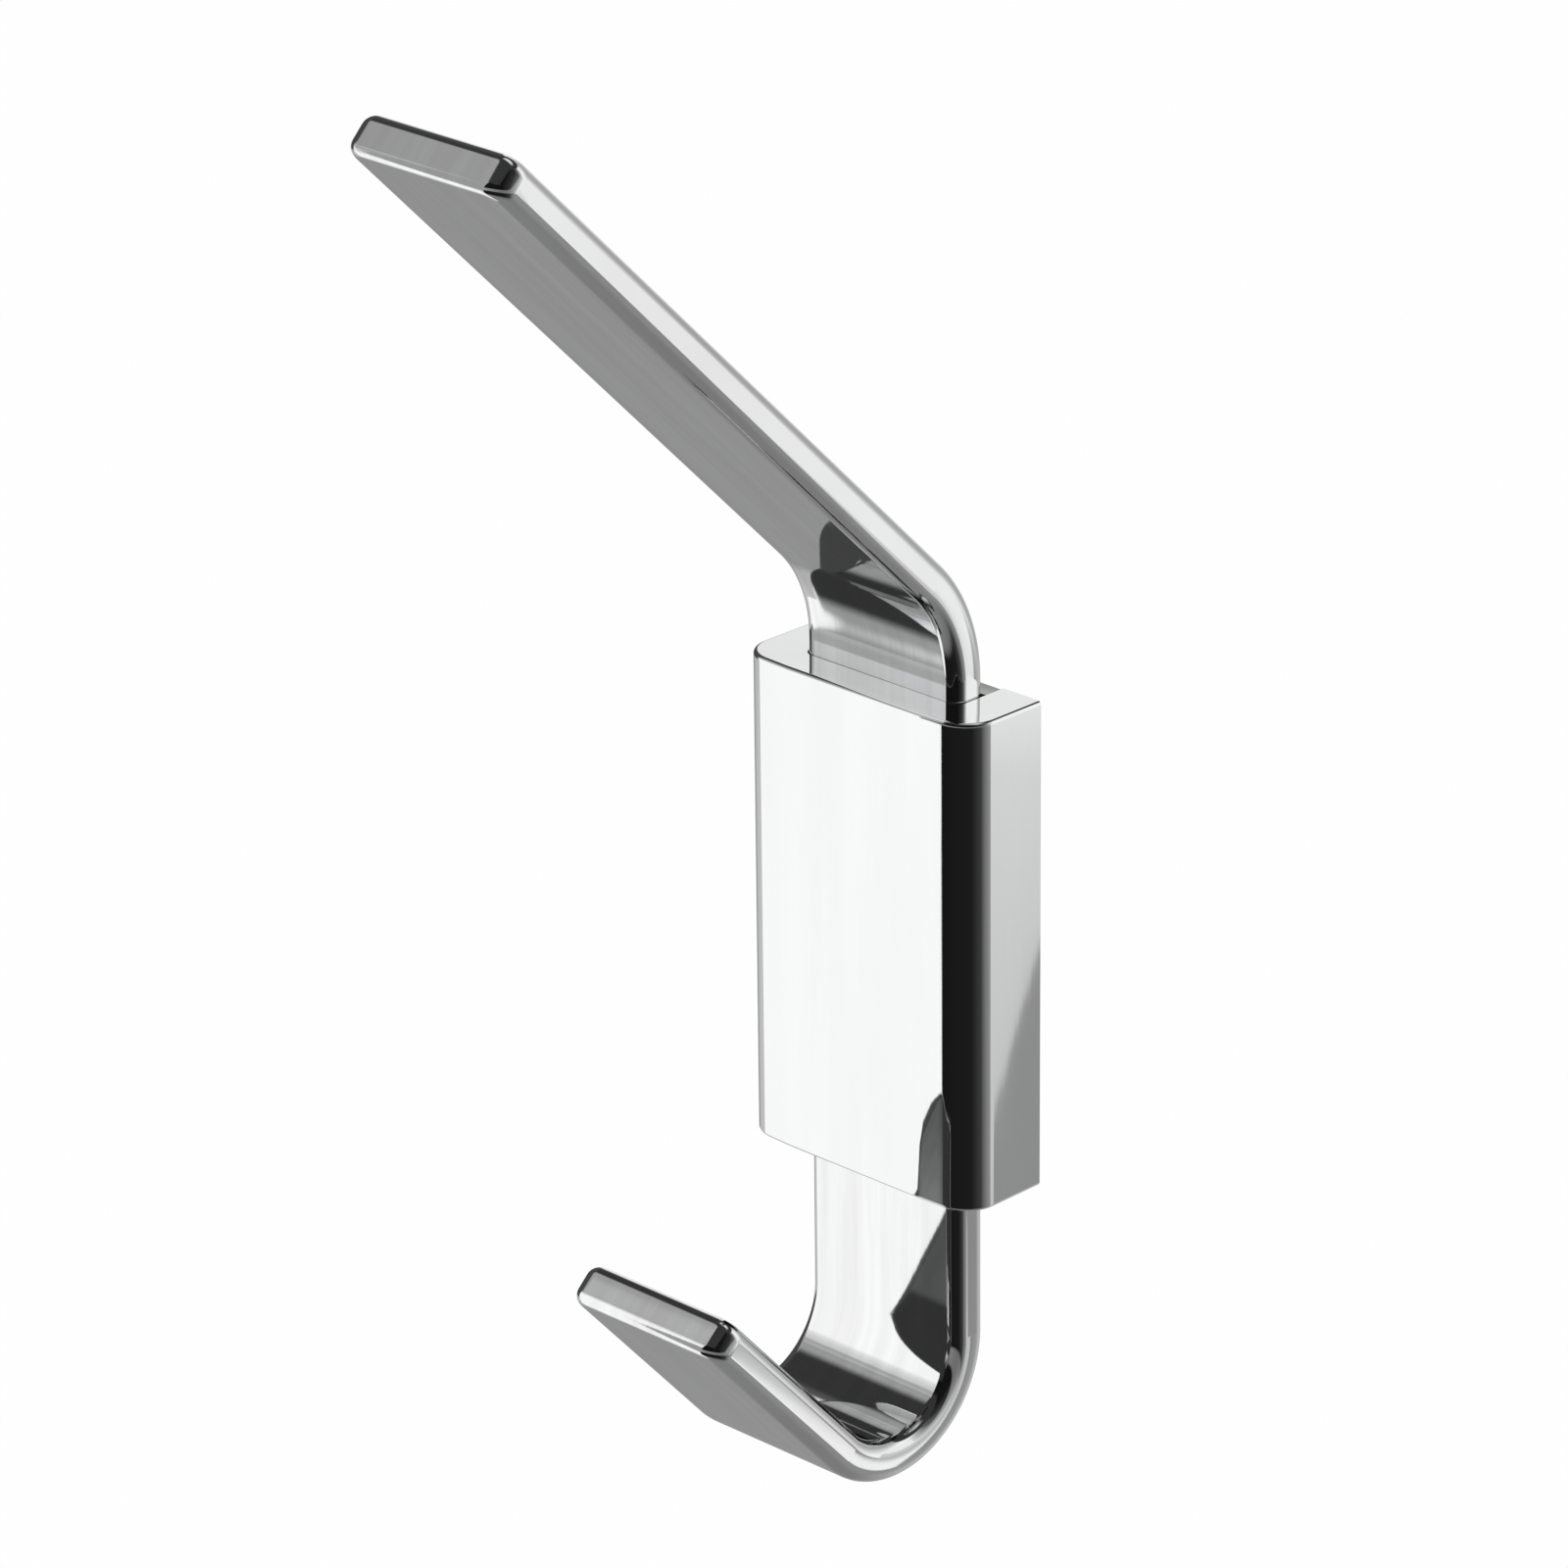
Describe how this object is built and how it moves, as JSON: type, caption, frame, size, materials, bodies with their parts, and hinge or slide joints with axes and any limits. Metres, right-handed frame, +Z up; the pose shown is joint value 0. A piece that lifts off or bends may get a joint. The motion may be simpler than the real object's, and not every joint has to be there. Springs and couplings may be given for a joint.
{
  "type": "double towel hook",
  "caption": "Wall hook for towels and robes: a flat chrome bar through a rounded block, leaning out as a long upper arm and turning up as a short lower hook.",
  "frame": {"origin": "middle of the wall plate's back, on the wall", "axes": "+X to the right seen from the front, +Y into the wall, +Z up"},
  "size_m": [0.03, 0.0638, 0.1461],
  "materials": {
    "bar_chrome": "mirror polished plating",
    "block_chrome": "mirror polished plating",
    "plate_steel": "plain zinc plated sheet",
    "screw_steel": "plain stainless",
    "grub_steel": "plain stainless"
  },
  "bodies": {
    "root": {"hook_bar": "bar_chrome", "wall_block": "block_chrome", "wall_plate": "plate_steel", "bar_screws": "screw_steel", "grub_screws": "grub_steel"}
  },
  "joints": []
}
